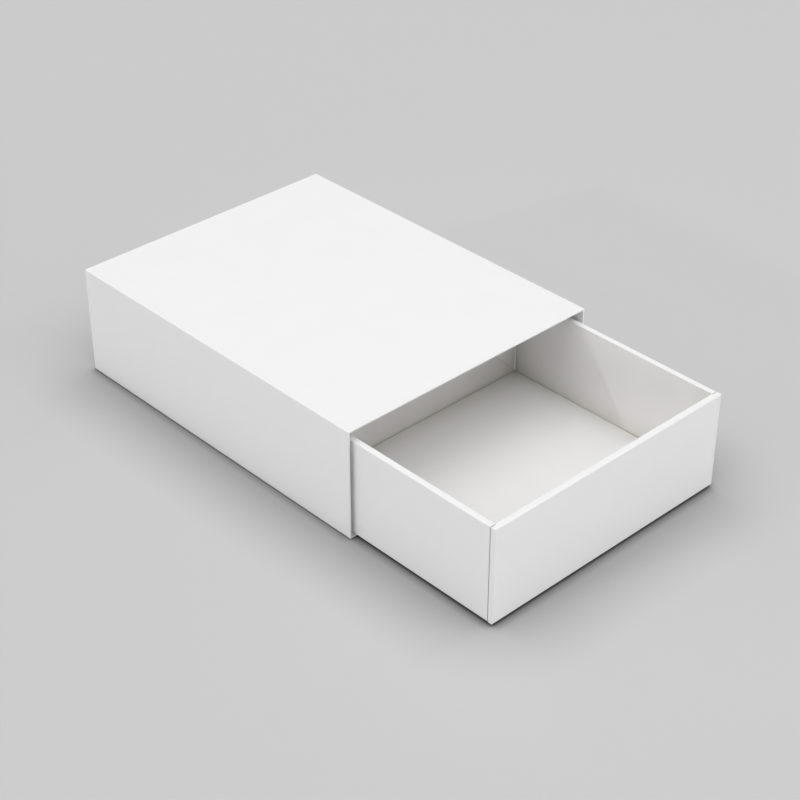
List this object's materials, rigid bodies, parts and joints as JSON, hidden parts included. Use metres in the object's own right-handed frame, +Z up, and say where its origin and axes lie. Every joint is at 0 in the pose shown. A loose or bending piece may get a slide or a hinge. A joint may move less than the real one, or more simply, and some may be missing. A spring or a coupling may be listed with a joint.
{
  "type": "slide drawer box",
  "caption": "White slide drawer box: a folded board sleeve, open at both ends, and a thick-walled rigid tray with a raised floor and a cross divider that slides out of it.",
  "frame": {"origin": "centre of the sleeve's underside, on the surface that the box rests on", "axes": "+Z up; the tray slides out towards -Y; +X to the right when facing the tray's front from the rear"},
  "size_m": [0.15, 0.277, 0.0575],
  "materials": {
    "sleeve_board": "matte coated white",
    "cover_paper": "matte white",
    "lining_card": "uncoated white",
    "floor_card": "uncoated white",
    "base_card": "uncoated white",
    "grey_board": "raw grey board",
    "stay_tape": "gummed kraft paper",
    "seam_tape": "double-sided tissue tape"
  },
  "bodies": {
    "sleeve": {"sleeve": "sleeve_board", "seam_tape": "seam_tape"},
    "tray": {"base_card": "base_card", "floor_board": "grey_board", "left_wall_board": "grey_board", "right_wall_board": "grey_board", "front_board": "grey_board", "back_board": "grey_board", "divider_board": "grey_board", "left_wall_cover": "cover_paper", "right_wall_cover": "cover_paper", "front_cover": "cover_paper", "back_cover": "cover_paper", "divider_cover": "lining_card", "corner_stays": "stay_tape", "left_lining_front": "lining_card", "left_lining_rear": "lining_card", "right_lining_front": "lining_card", "right_lining_rear": "lining_card", "front_lining": "lining_card", "back_lining": "lining_card", "floor_liner_front": "floor_card", "floor_liner_rear": "floor_card"}
  },
  "joints": [
    {"name": "tray_slide", "type": "slide", "parent": "sleeve", "child": "tray", "axis": [0, -1, 0], "range_m": [-0.085, 0.106]}
  ]
}
